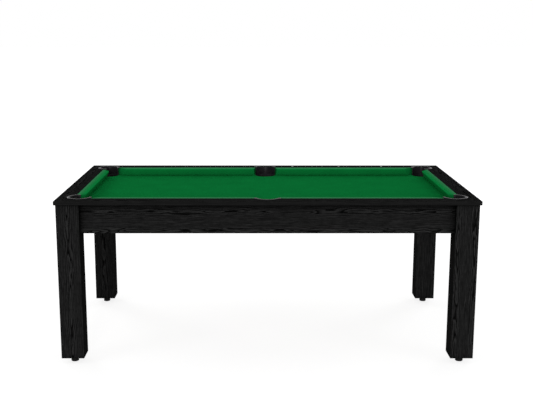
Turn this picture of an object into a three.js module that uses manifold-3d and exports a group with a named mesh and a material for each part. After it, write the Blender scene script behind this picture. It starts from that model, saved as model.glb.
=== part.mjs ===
// Convertible pool table: cloth-covered bed, low rails flush for a dining top, six drop pockets
// and four screw-adjusted feet. Millimetres, +Z up, +X along the table, front rail at -Y.
import * as THREE from 'three';
import { mergeVertices } from 'three/addons/utils/BufferGeometryUtils.js';
import Module from 'manifold-3d';

const wasm = await Module();
wasm.setup();

// Overall sizes
const tableLength = 2000;
const tableWidth = 1120;
const tableHeight = 802;

// Clearances shared by many pieces
const seatGap = 0.3;
const throatClearance = 0.6;
const boltClearance = 0.4;
const cutOverrun = 5;

// Rail boards
const railWidth = 79;
const railThickness = 19;

// Legs
const railOverhang = 8;
const legSide = 109;
const legShell = 22;
const legFloorGap = 29;

// Aprons
const apronHeight = 140;
const apronThickness = 15;

// Height of what hangs inside the aprons above their lower edge
const innerLift = 8;

// Bed
const bedDrop = 41;
const clothThickness = 1;
const slabThickness = 25;
const slabEdgeGap = 0.5;

// Cushions
const cushionReach = 41;
const cushionNoseHeight = 36.3;
const cushionNoseRadius = 3.5;
const cushionToeReach = 23;
const cushionTopDrop = 0.3;
const cushionClothGap = 0.4;
const noseArcStart = 92;
const noseArcEnd = -28;
const noseArcSteps = 5;

// Pockets
const cornerPocketInset = 106;
const cornerPocketRadius = 48;
const cornerMouth = 118;
const cornerFacingAngle = 142;
const cornerLinerMouthAngle = 100;
const middlePocketInset = 95;
const middlePocketRadius = 54;
const middleMouth = 130;
const middleFacingAngle = 104;
const rimWidth = 12;
const rimHeight = 3.5;
const rimEdgeHeight = 1.6;
const rimRounding = 3.2;
const linerWall = 3;
const linerBedGap = 0.8;
const spoutRadius = 42;
const spoutLength = 22;

// Pocket cups
const cupWall = 2.5;
const cupFloor = 3;
const cupFloorRounding = 9;
const cupEarBite = 16;
const cupEarWidth = 20;
const cupEarThickness = 3;
const cupScrewHoleRadius = 2.3;

// Crossbeams under the bed
const beamThickness = 22;
const beamHeight = 80;
const beamOffset = 320;

// Corner brackets with their bolts, which hold each leg to two aprons
const bracketThickness = 2.5;
const bracketReach = 60;
const bracketHeadroom = 8;
const boltRadius = 4;
const boltHeadRadius = 7.5;
const boltHeadHeight = 4.5;
const boltSetback = 36;
const boltEdge = 16;
const boltBite = 15;

// Feet
const padRadius = 18.5;
const padHeight = 22;
const padEdgeRounding = 3;
const padTopRounding = 2;
const padSocketDepth = 10;
const studRadius = 4.9;
const studClearance = 0.1;
const studSocketGap = 0.2;
const studReach = 66;
const collarRadius = 9.8;
const collarHeight = 6;
const collarGap = 0.4;
const insertFlangeRadius = 12.5;
const insertFlangeHeight = 2;
const insertRadius = 6.6;
const insertLength = 26;
const insertClearance = 0.3;
const studBoreSpare = 12;

// Inlaid sights on the back rail
const sightRadius = 5.5;
const sightDepth = 2;
const sightClearance = 0.2;
const sightInset = 33;
const firstSightOffset = 159;
const secondSightOffset = 427;
const thirdSightOffset = 673;

// Facet counts
const throatFacets = 24;
const boltFacets = 8;
const hexFacets = 6;
const footFacets = 16;
const sightFacets = 12;

// Levels and planes that follow from the sizes above
const halfLength = tableLength / 2;
const halfWidth = tableWidth / 2;
const railUnderside = tableHeight - railThickness;
const clothTop = tableHeight - bedDrop;
const slabTop = clothTop - clothThickness;
const slabUnderside = slabTop - slabThickness;
const apronBottom = railUnderside - apronHeight;
const legOuterX = halfLength - railOverhang;
const legOuterY = halfWidth - railOverhang;
const legInnerX = legOuterX - legSide;
const legInnerY = legOuterY - legSide;
const legCentreX = legOuterX - legSide / 2;
const legCentreY = legOuterY - legSide / 2;
const apronOuterX = legOuterX - legShell;
const apronOuterY = legOuterY - legShell;
const apronInnerX = apronOuterX - apronThickness;
const apronInnerY = apronOuterY - apronThickness;
const railInnerX = halfLength - railWidth;
const railInnerY = halfWidth - railWidth;
const noseX = railInnerX - cushionReach;
const noseY = railInnerY - cushionReach;
const slabHalfLength = apronInnerX - slabEdgeGap;
const slabHalfWidth = apronInnerY - slabEdgeGap;
const spoutOuterRadius = spoutRadius + linerWall;
const cupInnerRadius = spoutOuterRadius + throatClearance;
const cupOuterRadius = cupInnerRadius + cupWall;
const cupBottom = apronBottom + innerLift;

const radians = (degrees) => degrees * Math.PI / 180;

// Solid helpers

function toManifold(geometry) {
  const bare = geometry.clone();
  bare.deleteAttribute('normal');
  bare.deleteAttribute('uv');
  const welded = mergeVertices(bare);
  const mesh = new wasm.Mesh({
    numProp: 3,
    vertProperties: new Float32Array(welded.attributes.position.array),
    triVerts: new Uint32Array(welded.index.array),
  });
  return new wasm.Manifold(mesh);
}

function toGeometry(manifold) {
  const mesh = manifold.getMesh();
  const geometry = new THREE.BufferGeometry();
  geometry.setAttribute('position', new THREE.BufferAttribute(new Float32Array(mesh.vertProperties), 3));
  geometry.setIndex(new THREE.BufferAttribute(new Uint32Array(mesh.triVerts), 1));
  geometry.computeVertexNormals();
  return geometry;
}

function cut(body, tools) {
  return toGeometry(tools.reduce((rest, tool) => rest.subtract(toManifold(tool)), toManifold(body)));
}

function join(pieces) {
  return toGeometry(pieces.map(toManifold).reduce((whole, piece) => whole.add(piece)));
}

function block(lowX, highX, lowY, highY, lowZ, highZ) {
  const geometry = new THREE.BoxGeometry(highX - lowX, highY - lowY, highZ - lowZ);
  return geometry.translate((lowX + highX) / 2, (lowY + highY) / 2, (lowZ + highZ) / 2);
}

// A block given by its distances from the centre planes, on the side that the signs name
function sidedBlock(signX, signY, nearX, farX, nearY, farY, lowZ, highZ) {
  const x = [signX * nearX, signX * farX].sort((a, b) => a - b);
  const y = [signY * nearY, signY * farY].sort((a, b) => a - b);
  return block(x[0], x[1], y[0], y[1], lowZ, highZ);
}

function prism(outline, lowZ, highZ) {
  const shape = new THREE.Shape(outline.map(([x, y]) => new THREE.Vector2(x, y)));
  const geometry = new THREE.ExtrudeGeometry(shape, { depth: highZ - lowZ, bevelEnabled: false });
  return geometry.translate(0, 0, lowZ);
}

// A solid of revolution about Z from [radius, height] points
function turned(profile, facets) {
  const points = profile.map(([radius, height]) => new THREE.Vector2(radius, height));
  return new THREE.LatheGeometry(points, facets).rotateX(Math.PI / 2);
}

function rod(radius, lowZ, highZ, facets) {
  return turned([[0, lowZ], [radius, lowZ], [radius, highZ], [0, highZ]], facets);
}

// The four corners and the names of the sides

const legSigns = [[-1, -1], [1, -1], [-1, 1], [1, 1]];
const sideNames = { '-1': { x: 'left', y: 'front' }, 1: { x: 'right', y: 'back' } };
const legName = (signX, signY) => `${sideNames[signY].y}_${sideNames[signX].x}`;

// The six pockets: centre, throat radius and the direction of the mouth

const cornerPockets = legSigns.map(([signX, signY]) => ({
  name: legName(signX, signY),
  corner: true,
  x: signX * (halfLength - cornerPocketInset),
  y: signY * (halfWidth - cornerPocketInset),
  radius: cornerPocketRadius,
  heading: Math.atan2(-signY, -signX),
}));

const middlePockets = [-1, 1].map((signY) => ({
  name: `${sideNames[signY].y}_middle`,
  corner: false,
  x: 0,
  y: signY * (halfWidth - middlePocketInset),
  radius: middlePocketRadius,
  heading: Math.atan2(-signY, 0),
}));

const pockets = [...cornerPockets, ...middlePockets];

function atPocket(geometry, pocket) {
  return geometry.rotateZ(pocket.heading).translate(pocket.x, pocket.y, 0);
}

// Radius of the hole that a liner of this inner radius hangs in
const throatRadius = (radius) => radius + linerWall + throatClearance;

// The clear way for a pocket's throat, from below the slab to above the rails
function throatWay(pocket) {
  const low = slabUnderside - cutOverrun;
  return atPocket(rod(throatRadius(pocket.radius), low, tableHeight + cutOverrun, throatFacets), pocket);
}

// The clear way for a pocket's cup under the bed
function cupWay(pocket) {
  const low = cupBottom - cutOverrun;
  return atPocket(rod(cupOuterRadius + throatClearance, low, slabUnderside, throatFacets), pocket);
}

// Corner brackets: an angle inside each corner of the aprons, with four bolts that bite in the leg

const bracketLow = apronBottom + innerLift;
const bracketHigh = slabUnderside - bracketHeadroom;
const boltHeights = [bracketLow + boltEdge, bracketHigh - boltEdge];

// Put a shape that points along +Z at each bolt of one leg, pointing outwards through the apron
function atBolts(build, signX, signY) {
  const x = signX * (apronInnerX - boltSetback);
  const y = signY * (apronInnerY - boltSetback);
  return boltHeights.flatMap((height) => [
    build().rotateX(-signY * Math.PI / 2).translate(x, signY * apronInnerY, height),
    build().rotateY(signX * Math.PI / 2).translate(signX * apronInnerX, y, height),
  ]);
}

function boltWays() {
  const end = apronThickness + boltBite + boltClearance;
  const build = () => rod(boltRadius + boltClearance, -boltClearance, end, boltFacets);
  return legSigns.flatMap(([signX, signY]) => atBolts(build, signX, signY));
}

function bolt() {
  const plate = -bracketThickness;
  const shank = rod(boltRadius, plate - boltHeadHeight / 2, apronThickness + boltBite, boltFacets);
  return join([shank, rod(boltHeadRadius, plate - boltHeadHeight, plate, hexFacets)]);
}

function legBracket(signX, signY) {
  const farX = apronInnerX - bracketReach;
  const farY = apronInnerY - bracketReach;
  const nearX = apronInnerX - bracketThickness;
  const nearY = apronInnerY - bracketThickness;
  const plates = [
    sidedBlock(signX, signY, farX, apronInnerX, nearY, apronInnerY, bracketLow, bracketHigh),
    sidedBlock(signX, signY, nearX, apronInnerX, farY, apronInnerY, bracketLow, bracketHigh),
  ];
  return join([...plates, ...atBolts(bolt, signX, signY)]);
}

// Rail boards, mitred at the corners and bored for the pockets

const sightOffsets = [firstSightOffset, secondSightOffset, thirdSightOffset];
const sightY = halfWidth - sightInset;

function sight(offset) {
  return rod(sightRadius, tableHeight - sightDepth, tableHeight, sightFacets).translate(offset, sightY, 0);
}

function sightHole(offset) {
  const radius = sightRadius + sightClearance;
  const high = tableHeight + cutOverrun;
  return rod(radius, tableHeight - sightDepth, high, sightFacets).translate(offset, sightY, 0);
}

function longRail(signY) {
  const gap = seatGap / 2;
  const outline = [
    [-halfLength + gap, halfWidth], [-railInnerX + gap, railInnerY],
    [railInnerX - gap, railInnerY], [halfLength - gap, halfWidth],
  ].map(([x, y]) => [x, signY * y]);
  const sightHoles = signY > 0 ? sightOffsets.map(sightHole) : [];
  return cut(prism(outline, railUnderside, tableHeight), [...pockets.map(throatWay), ...sightHoles]);
}

function endRail(signX) {
  const gap = seatGap / 2;
  const outline = [
    [halfLength, -halfWidth + gap], [halfLength, halfWidth - gap],
    [railInnerX, railInnerY - gap], [railInnerX, -railInnerY + gap],
  ].map(([x, y]) => [signX * x, y]);
  return cut(prism(outline, railUnderside, tableHeight), cornerPockets.map(throatWay));
}

// Where the wood under the rails starts, from the table's corner and from its middle
const cornerWoodStart = cornerPocketInset + throatRadius(cornerPocketRadius);
const middleWoodStart = throatRadius(middlePocketRadius);

// Wood blocks between the bed and the rail boards, which the cushions are glued to

function longSubrail(signX, signY) {
  return sidedBlock(
    signX, signY, middleWoodStart, halfLength - cornerWoodStart,
    railInnerY, apronInnerY - seatGap, clothTop, railUnderside,
  );
}

function endSubrail(signX) {
  const reach = halfWidth - cornerWoodStart;
  return sidedBlock(
    signX, 1, railInnerX, apronInnerX - seatGap, -reach, reach, clothTop, railUnderside,
  );
}

// Cushions: a rubber section with a rounded nose, cut on a slant at each pocket

function cushionSection() {
  const noseCentre = new THREE.Vector2(
    cushionReach - cushionNoseRadius, clothTop + cushionNoseHeight,
  );
  const arc = Array.from({ length: noseArcSteps + 1 }, (_, step) => {
    const angle = radians(noseArcStart + (noseArcEnd - noseArcStart) * step / noseArcSteps);
    return [
      noseCentre.x + cushionNoseRadius * Math.cos(angle),
      noseCentre.y + cushionNoseRadius * Math.sin(angle),
    ];
  });
  const bottom = clothTop + cushionClothGap;
  return [
    [seatGap, bottom], [cushionToeReach, bottom], ...arc.reverse(),
    [seatGap, tableHeight - cushionTopDrop],
  ];
}

// How far a slanted end runs back towards the pocket at a distance from the nose
const slantShare = (facingAngle) => Math.tan(radians(facingAngle - 90));

// A cushion lying along X from its start to its end at the nose, with its back on the plane y = 0
function cushionSolid(start, end, startSlant, endSlant) {
  const section = cushionSection().map(([reach, height]) => new THREE.Vector2(reach, height));
  const geometry = new THREE.ExtrudeGeometry(new THREE.Shape(section), { depth: 1, bevelEnabled: false });
  const position = geometry.attributes.position;
  for (let index = 0; index < position.count; index += 1) {
    const reach = position.getX(index);
    const height = position.getY(index);
    const behindNose = cushionReach - reach;
    const along = position.getZ(index) > 0
      ? end + behindNose * endSlant
      : start - behindNose * startSlant;
    position.setXYZ(index, along, reach, height);
  }
  return geometry;
}

// Along a rail, the nose tips stand back from the crossing of the two nose lines by this much
const cornerTipSetback = cornerMouth / Math.SQRT2;
const cornerSlant = slantShare(cornerFacingAngle);
const middleSlant = slantShare(middleFacingAngle);

function longCushion(signX, signY) {
  const cornerTip = noseX - cornerTipSetback;
  const solid = cushionSolid(middleMouth / 2, cornerTip, middleSlant, cornerSlant);
  // The solid is built with its nose towards +Y and its mouth end at low X
  solid.translate(0, -railInnerY, 0);
  return mirrored(solid, signX, -signY);
}

function endCushion(signX) {
  const tip = noseY - cornerTipSetback;
  const solid = cushionSolid(-tip, tip, cornerSlant, cornerSlant);
  solid.translate(0, -railInnerX, 0);
  return mirrored(solid.rotateZ(-Math.PI / 2), -signX, 1);
}

// Mirror in the planes x = 0 and y = 0, keeping the faces turned outwards
function mirrored(geometry, signX, signY) {
  const body = toManifold(geometry);
  return toGeometry(body.transform([signX, 0, 0, 0, 0, signY, 0, 0, 0, 0, 1, 0, 0, 0, 0, 1]));
}

// Pocket liners: a rim on the rail, a wall round the back of the throat and a funnel through the bed

function linerRimProfile(radius) {
  const outer = radius + rimWidth;
  const top = tableHeight + rimHeight;
  const wallOuter = radius + linerWall;
  const low = slabTop - linerBedGap;
  return [
    [radius, low], [wallOuter, low], [wallOuter, tableHeight], [outer, tableHeight],
    [outer, tableHeight + rimEdgeHeight], [outer - rimRounding, top], [radius + rimRounding, top],
    [radius, tableHeight + rimEdgeHeight], [radius, low],
  ];
}

function linerFunnelProfile(radius) {
  const top = slabTop;
  const lip = slabTop - linerBedGap;
  const knee = slabUnderside + seatGap;
  const spoutEnd = slabUnderside - spoutLength;
  return [
    [radius, top], [radius, lip], [spoutRadius, knee + linerWall / 2], [spoutRadius, spoutEnd],
    [spoutOuterRadius, spoutEnd], [spoutOuterRadius, knee],
    [radius + linerWall, lip - linerWall / 2], [radius + linerWall, top], [radius, top],
  ];
}

// The mouth cut, in the pocket's own frame with the mouth along +X
function linerMouth(pocket) {
  const low = slabTop;
  const high = tableHeight + rimHeight + cutOverrun;
  const span = pocket.radius + rimWidth + cutOverrun;
  if (pocket.corner) {
    const half = radians(cornerLinerMouthAngle / 2);
    const far = span / Math.cos(half);
    const edge = [far * Math.cos(half), far * Math.sin(half)];
    return prism([[0, 0], [edge[0], -edge[1]], [far, -edge[1]], [far, edge[1]], edge], low, high);
  }
  return block(railWidth - seatGap - middlePocketInset, span, -span, span, low, high);
}

function pocketLiner(pocket) {
  const rim = cut(turned(linerRimProfile(pocket.radius), throatFacets), [linerMouth(pocket)]);
  const funnel = turned(linerFunnelProfile(pocket.radius), throatFacets);
  return atPocket(join([rim, funnel]), pocket);
}

// Pocket cups: closed cups under the bed, hung by two ears that screws go up through

function pocketCup(pocket) {
  const floor = cupBottom + cupFloor;
  const earEnd = throatRadius(pocket.radius) + cupEarBite;
  const bowl = turned([
    [0, cupBottom], [cupOuterRadius - cupFloorRounding, cupBottom],
    [cupOuterRadius, cupBottom + cupFloorRounding],
    [cupOuterRadius, slabUnderside], [cupInnerRadius, slabUnderside],
    [cupInnerRadius, floor + cupFloorRounding], [cupInnerRadius - cupFloorRounding, floor], [0, floor],
  ], throatFacets);
  const ears = [-1, 1].map((side) => sidedBlock(
    1, side, -cupEarWidth / 2, cupEarWidth / 2, cupInnerRadius + cupWall / 2, earEnd,
    slabUnderside - cupEarThickness, slabUnderside,
  ));
  const screwHoles = [-1, 1].map((side) => rod(
    cupScrewHoleRadius, slabUnderside - cutOverrun, slabUnderside + cutOverrun, boltFacets,
  ).translate(0, side * (earEnd - cupEarBite / 2), 0));
  return atPocket(cut(join([bowl, ...ears]), screwHoles), pocket);
}

// Bed: a board inside the aprons, with cloth stretched over it

function bedPlate(lowZ, highZ) {
  const plate = block(-slabHalfLength, slabHalfLength, -slabHalfWidth, slabHalfWidth, lowZ, highZ);
  return cut(plate, pockets.map(throatWay));
}

// Aprons, with a hollow behind each middle pocket

function longApron(signY) {
  const board = sidedBlock(
    1, signY, -apronOuterX, apronOuterX, apronInnerY, apronOuterY, apronBottom, railUnderside,
  );
  const pocketWays = middlePockets.flatMap((pocket) => [throatWay(pocket), cupWay(pocket)]);
  return cut(board, [...pocketWays, ...boltWays()]);
}

function endApron(signX) {
  const board = sidedBlock(
    signX, 1, apronInnerX, apronOuterX, -apronInnerY, apronInnerY, apronBottom, railUnderside,
  );
  return cut(board, boltWays());
}

// Crossbeams under the bed, from one long apron to the other

function crossbeam(signX) {
  return sidedBlock(
    signX, 1, beamOffset - beamThickness / 2, beamOffset + beamThickness / 2,
    -apronInnerY, apronInnerY, slabUnderside - beamHeight, slabUnderside,
  );
}

// Legs: square posts, notched at the top for the aprons and the corner cup

function leg(signX, signY) {
  const post = sidedBlock(
    signX, signY, legInnerX, legOuterX, legInnerY, legOuterY, legFloorGap, railUnderside,
  );
  const notch = sidedBlock(
    signX, signY, legInnerX - cutOverrun, apronOuterX, legInnerY - cutOverrun, apronOuterY,
    apronBottom, railUnderside + cutOverrun,
  );
  const insertWay = turned([
    [0, legFloorGap - cutOverrun],
    [insertFlangeRadius + insertClearance, legFloorGap - cutOverrun],
    [insertFlangeRadius + insertClearance, legFloorGap + insertFlangeHeight],
    [insertRadius + insertClearance, legFloorGap + insertFlangeHeight],
    [insertRadius + insertClearance, legFloorGap + studReach + studBoreSpare],
    [0, legFloorGap + studReach + studBoreSpare],
  ], footFacets).translate(signX * legCentreX, signY * legCentreY, 0);
  return cut(post, [notch, insertWay, ...boltWays()]);
}

// Feet: a threaded insert in the leg, a stud that screws in it and a pad that the stud stands in

// Corner radius of a faceted socket whose flats stay clear of the turning stud
const socketRadius = (studRadius + studClearance) / Math.cos(Math.PI / footFacets);

function footInsert() {
  const flangeTop = legFloorGap + insertFlangeHeight;
  const end = legFloorGap + insertLength;
  return turned([
    [socketRadius, legFloorGap], [insertFlangeRadius, legFloorGap], [insertFlangeRadius, flangeTop],
    [insertRadius, flangeTop], [insertRadius, end], [socketRadius, end], [socketRadius, legFloorGap],
  ], footFacets);
}

function footStud() {
  const low = padHeight - padSocketDepth + studSocketGap;
  const collarLow = padHeight + collarGap;
  const shank = rod(studRadius, low, legFloorGap + studReach, footFacets);
  return join([shank, rod(collarRadius, collarLow, collarLow + collarHeight, hexFacets)]);
}

function footPad() {
  const socket = padHeight - padSocketDepth;
  return turned([
    [0, 0], [padRadius - padEdgeRounding, 0], [padRadius - padEdgeRounding / 3, padEdgeRounding / 3],
    [padRadius, padEdgeRounding], [padRadius, padHeight - padTopRounding],
    [padRadius - padTopRounding, padHeight], [socketRadius, padHeight], [socketRadius, socket], [0, socket],
  ], footFacets);
}

// Materials

function finish(color, roughness, metalness) {
  return new THREE.MeshStandardMaterial({ color, roughness, metalness });
}

const blackWood = finish(0x1a1a1b, 0.55, 0);
const bareWood = finish(0xb08a5e, 0.8, 0);
const fibreboard = finish(0x9a7b58, 0.85, 0);
const bedGreen = finish(0x0a652e, 0.95, 0);
const cushionGreen = finish(0x106c35, 0.95, 0);
const pocketPlastic = finish(0x1e1f21, 0.4, 0);
const footPlastic = finish(0x161616, 0.7, 0);
const steel = finish(0x9aa0a6, 0.4, 1);
const pearl = finish(0xc9c9c4, 0.35, 0);

// Assembly

const table = new THREE.Group();

function place(parent, name, geometry, material) {
  const mesh = new THREE.Mesh(geometry, material);
  mesh.name = name;
  parent.add(mesh);
}

for (const side of [-1, 1]) {
  const { x, y } = sideNames[side];
  place(table, `rail_board_${y}`, longRail(side), blackWood);
  place(table, `rail_board_${x}`, endRail(side), blackWood);
  place(table, `subrail_${x}`, endSubrail(side), bareWood);
  place(table, `cushion_${x}`, endCushion(side), cushionGreen);
  place(table, `apron_${y}`, longApron(side), blackWood);
  place(table, `apron_${x}`, endApron(side), blackWood);
  place(table, `crossbeam_${x}`, crossbeam(side), bareWood);
}
sightOffsets.forEach((offset, index) => {
  place(table, `rail_sight_${index + 1}`, sight(offset), pearl);
});
place(table, 'bed_slab', bedPlate(slabUnderside, slabTop), fibreboard);
place(table, 'bed_cloth', bedPlate(slabTop, clothTop), bedGreen);

for (const pocket of pockets) {
  place(table, `pocket_liner_${pocket.name}`, pocketLiner(pocket), pocketPlastic);
  place(table, `pocket_cup_${pocket.name}`, pocketCup(pocket), pocketPlastic);
}

for (const [signX, signY] of legSigns) {
  const name = legName(signX, signY);
  place(table, `subrail_${name}`, longSubrail(signX, signY), bareWood);
  place(table, `cushion_${name}`, longCushion(signX, signY), cushionGreen);
  place(table, `leg_${name}`, leg(signX, signY), blackWood);
  place(table, `leg_bracket_${name}`, legBracket(signX, signY), steel);
  const foot = new THREE.Group();
  foot.position.set(signX * legCentreX, signY * legCentreY, 0);
  table.add(foot);
  place(foot, `foot_insert_${name}`, footInsert(), steel);
  place(foot, `foot_stud_${name}`, footStud(), steel);
  place(foot, `foot_pad_${name}`, footPad(), footPlastic);
}

export default table;
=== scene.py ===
"""Dresses the convertible pool table: black embossed boards, green cloth, moulded pockets and feet.

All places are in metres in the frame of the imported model: +X along the table, the front rail at -Y,
the floor at zero.
"""

import math
from functools import partial

import bmesh
import bpy
from bpy.props import FloatProperty, FloatVectorProperty, IntProperty, PointerProperty
from mathutils import Euler, Matrix, Vector


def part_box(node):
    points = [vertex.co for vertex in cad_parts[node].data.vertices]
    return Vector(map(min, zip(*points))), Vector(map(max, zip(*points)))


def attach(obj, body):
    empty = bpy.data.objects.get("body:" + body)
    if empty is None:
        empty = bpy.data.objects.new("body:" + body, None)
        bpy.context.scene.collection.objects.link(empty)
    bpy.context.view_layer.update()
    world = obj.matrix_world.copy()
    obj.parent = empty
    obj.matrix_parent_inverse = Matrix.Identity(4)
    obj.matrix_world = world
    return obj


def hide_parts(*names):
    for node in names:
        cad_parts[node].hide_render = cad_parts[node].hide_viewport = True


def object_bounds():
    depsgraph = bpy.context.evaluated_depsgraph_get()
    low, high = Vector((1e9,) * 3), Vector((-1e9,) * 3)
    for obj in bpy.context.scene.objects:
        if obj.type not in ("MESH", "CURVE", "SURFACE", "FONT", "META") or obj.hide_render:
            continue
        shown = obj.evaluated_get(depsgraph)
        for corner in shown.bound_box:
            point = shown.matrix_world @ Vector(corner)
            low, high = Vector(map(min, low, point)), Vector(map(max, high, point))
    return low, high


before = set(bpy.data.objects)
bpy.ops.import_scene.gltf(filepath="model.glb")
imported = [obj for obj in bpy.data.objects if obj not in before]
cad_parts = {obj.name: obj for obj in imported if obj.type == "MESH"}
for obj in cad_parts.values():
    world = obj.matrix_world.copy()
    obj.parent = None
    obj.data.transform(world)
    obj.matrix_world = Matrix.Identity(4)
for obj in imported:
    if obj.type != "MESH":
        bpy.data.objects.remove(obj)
CAD_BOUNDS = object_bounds()

bl_info = {
    "name": "Convertible Pool Table",
    "version": (1, 0, 0),
    "blender": (4, 5, 0),
    "location": "View3D > Sidebar > Pool Table",
    "description": "Builds the visible pieces of a convertible pool table round its packed solids",
    "category": "Object",
}

MM = 0.001
TABLE = "table"
CORNERS = {
    "front_left": (-1, -1), "front_right": (1, -1),
    "back_left": (-1, 1), "back_right": (1, 1),
}
ENDS = {"left": -1, "right": 1}
# The boards of the four sides: the axis that each lies along, and the way that its outer face looks
BOARDS = {"front": ("X", (0, -1)), "back": ("X", (0, 1)), "left": ("Y", (-1, 0)), "right": ("Y", (1, 0))}

# Where the boards' rings were cut flat, in millimetres: from the rails' outer edges, from the aprons' upper
# and lower edges, past the middle of the left legs' backs, and from both edges of the right legs' faces
RAIL_BAND = 30
APRON_BANDS = (36, 12)
LEFT_LEG_BAND = 10
RIGHT_LEG_BANDS = (14, 16)
# The shortest edges that are eased, in millimetres: of aprons and legs, of rails, and of brackets
LONG_EDGE = 60
RAIL_LONG_EDGE = 30
BRACKET_LONG_EDGE = 3

# Rail bolts: their places from the middle of the long sides and of the ends, in metres
SIDE_BOLTS = (0.13, 0.46, 0.72)
END_BOLTS = (-0.26, 0.0, 0.26)
# In millimetres: the gap between pieces that touch, the gap round a pocket in the cloth, and how far the
# cloth reaches past the bed's long edges before it is cut
TOUCH_GAP = 0.3
CLOTH_GAP = 0.06
CLOTH_SPARE = 20
# In millimetres: a cushion's rounds at its toe and its ends, and the flat edge behind its top
TOE_ROUND = 2
END_ROUND = 1.6
BACK_EDGE = (1.2, 1.4)
# In millimetres: where a stud's thread starts over the pad and stops under the stud's end, and how high its
# collar floats over the pad
THREAD_START, THREAD_STOP = 7, 2
COLLAR_GAP = 0.4

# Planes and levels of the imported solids
RAIL_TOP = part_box("rail_board_front")[1].z
RAIL_EDGE_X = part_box("rail_board_right")[0].x
RAIL_EDGE_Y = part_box("rail_board_back")[0].y
SLAB_LOW, SLAB_TOP = (corner.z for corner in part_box("bed_slab"))
CLOTH_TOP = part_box("bed_cloth")[1].z
APRON_INNER_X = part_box("apron_right")[0].x
APRON_INNER_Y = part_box("apron_back")[0].y


def linear(hex_colour):
    """Turn an sRGB hex value into linear red, green, blue and alpha."""
    parts = [int(hex_colour[i:i + 2], 16) / 255 for i in (1, 3, 5)]
    low = [c / 12.92 if c <= 0.04045 else ((c + 0.055) / 1.055) ** 2.4 for c in parts]
    return (*low, 1.0)


def millimetres(name, description, default):
    """A length property, kept in metres and given here in millimetres."""
    return FloatProperty(
        name=name, description=description, default=default * MM, min=0.0, subtype="DISTANCE",
        unit="LENGTH",
    )


def colour(name, description, default):
    """A colour property, kept linear and given here as sRGB hex."""
    return FloatVectorProperty(
        name=name, description=description, default=linear(default)[:3], size=3, min=0.0, max=1.0,
        subtype="COLOR",
    )


class PoolTableSizes(bpy.types.PropertyGroup):
    """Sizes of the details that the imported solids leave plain."""

    board_edge: millimetres("Board edge", "Radius of the eased edges of the boards", 1.2)
    joint_edge: millimetres("Hidden edge", "Radius of the small eased edges of metal pieces", 0.5)
    corner_radius: millimetres("Corner pocket", "Inner radius of a corner pocket's rim", 48)
    middle_radius: millimetres("Middle pocket", "Inner radius of a middle pocket's rim", 54)
    corner_mouth: FloatProperty(
        name="Corner mouth", description="Angle of the gap in a corner pocket's rim",
        default=math.radians(100), subtype="ANGLE", unit="ROTATION",
    )
    rim_width: millimetres("Rim width", "Width of the pocket rim on the rail", 12)
    rim_height: millimetres("Rim height", "Height of the pocket rim over the rail", 3.5)
    rim_round: millimetres("Rim rounding", "Radius of the pocket rim's outer edge", 2.6)
    wall: millimetres("Pocket wall", "Wall of the moulded pocket pieces", 3)
    spout_radius: millimetres("Spout radius", "Inner radius of the spout into the cup", 42)
    cup_wall: millimetres("Cup wall", "Wall of the pocket cup", 2.5)
    cup_floor: millimetres("Cup floor", "Thickness of the pocket cup's floor", 3)
    cup_gap: millimetres("Cup gap", "Gap between the spout and the cup round it", 0.6)
    ear_reach: millimetres("Cup ear reach", "Reach of the cup's screwed ears past the funnel", 16)
    ear_width: millimetres("Cup ear width", "Width of the cup's ears", 20)
    screw_radius: millimetres("Screw head", "Radius of the cup screws' heads", 4)
    bolt_radius: millimetres("Bolt head", "Radius of the rail bolts' hexagon heads", 6.5)
    washer_radius: millimetres("Bolt washer", "Radius of the rail bolts' washers", 9)
    nose_radius: millimetres("Cushion nose", "Radius of the cushion's nose", 3.5)
    nose_height: millimetres("Nose height", "Height of the nose's centre over the cloth", 36.3)
    toe_reach: millimetres("Cushion toe", "Reach of the cushion's foot from the rail", 23)
    crown: millimetres("Cushion crown", "Rise of the cushion's top in its middle", 0.25)
    # Widths of the band of painted sheen at the back of the cushions' tops
    end_sheen_band: millimetres("End tuck", "Width of the brushed band at the back of the end cushions", 38)
    side_sheen_band: millimetres("Side tuck", "Width of the brushed band at the back of the side cushions", 130)
    cloth_roll: millimetres("Cloth roll", "Radius of the cloth's edge at a pocket", 0.9)
    thread_pitch: millimetres("Thread pitch", "Pitch of the foot studs' thread", 1.5)
    thread_core: millimetres("Thread core", "Radius of the foot studs inside the thread", 4.1)
    thread_crest: millimetres("Thread crest", "Radius of the foot studs over the thread", 4.85)
    collar_radius: millimetres("Collar", "Radius of the foot studs' hexagon collar", 9.8)
    collar_height: millimetres("Collar height", "Height of the foot studs' collar", 6)
    socket_radius: millimetres("Foot socket", "Radius of the foot pad's socket for the stud", 5.15)
    socket_depth: millimetres("Foot socket depth", "Depth of the foot pad's socket", 10)
    steps: IntProperty(name="Round steps", description="Steps in a full turn", default=72, min=24, max=180)


class PoolTableColours(bpy.types.PropertyGroup):
    """Main colours of the finishes."""

    board: colour("Board", "Raised grain of the black aprons and legs", "#333333")
    # Painted shade: the rails share the boards' laminate, given here a darker colour
    rail: colour("Rail", "Raised grain of the black rail boards", "#2d2d2d")
    board_pore: colour("Board pores", "Sunken pores of the black boards", "#060606")
    cloth: colour("Bed cloth", "Cloth on the bed", "#0a6a31")
    cushion: colour("Cushion cloth", "Cloth on the cushions", "#0c7437")
    # Colour of the painted sheen on the band at the back of the cushions' tops
    tuck_sheen: colour("Cloth tuck", "Brushed cloth at the tuck line", "#38724f")
    pocket: colour("Pocket plastic", "Moulded pocket pieces", "#1a191b")
    foot: colour("Foot plastic", "Moulded foot pads", "#080808")
    steel: colour("Steel", "Zinc-plated metal", "#b9bcbf")
    sight: colour("Sight", "Inlaid sights", "#d6d4cc")
    softwood: colour("Softwood", "Unfinished pine", "#c8a679")
    stain: colour("Block stain", "Stained pine behind the cushions", "#1c1b1a")
    fibreboard: colour("Fibreboard", "Unfinished fibreboard", "#a98a66")


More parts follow.
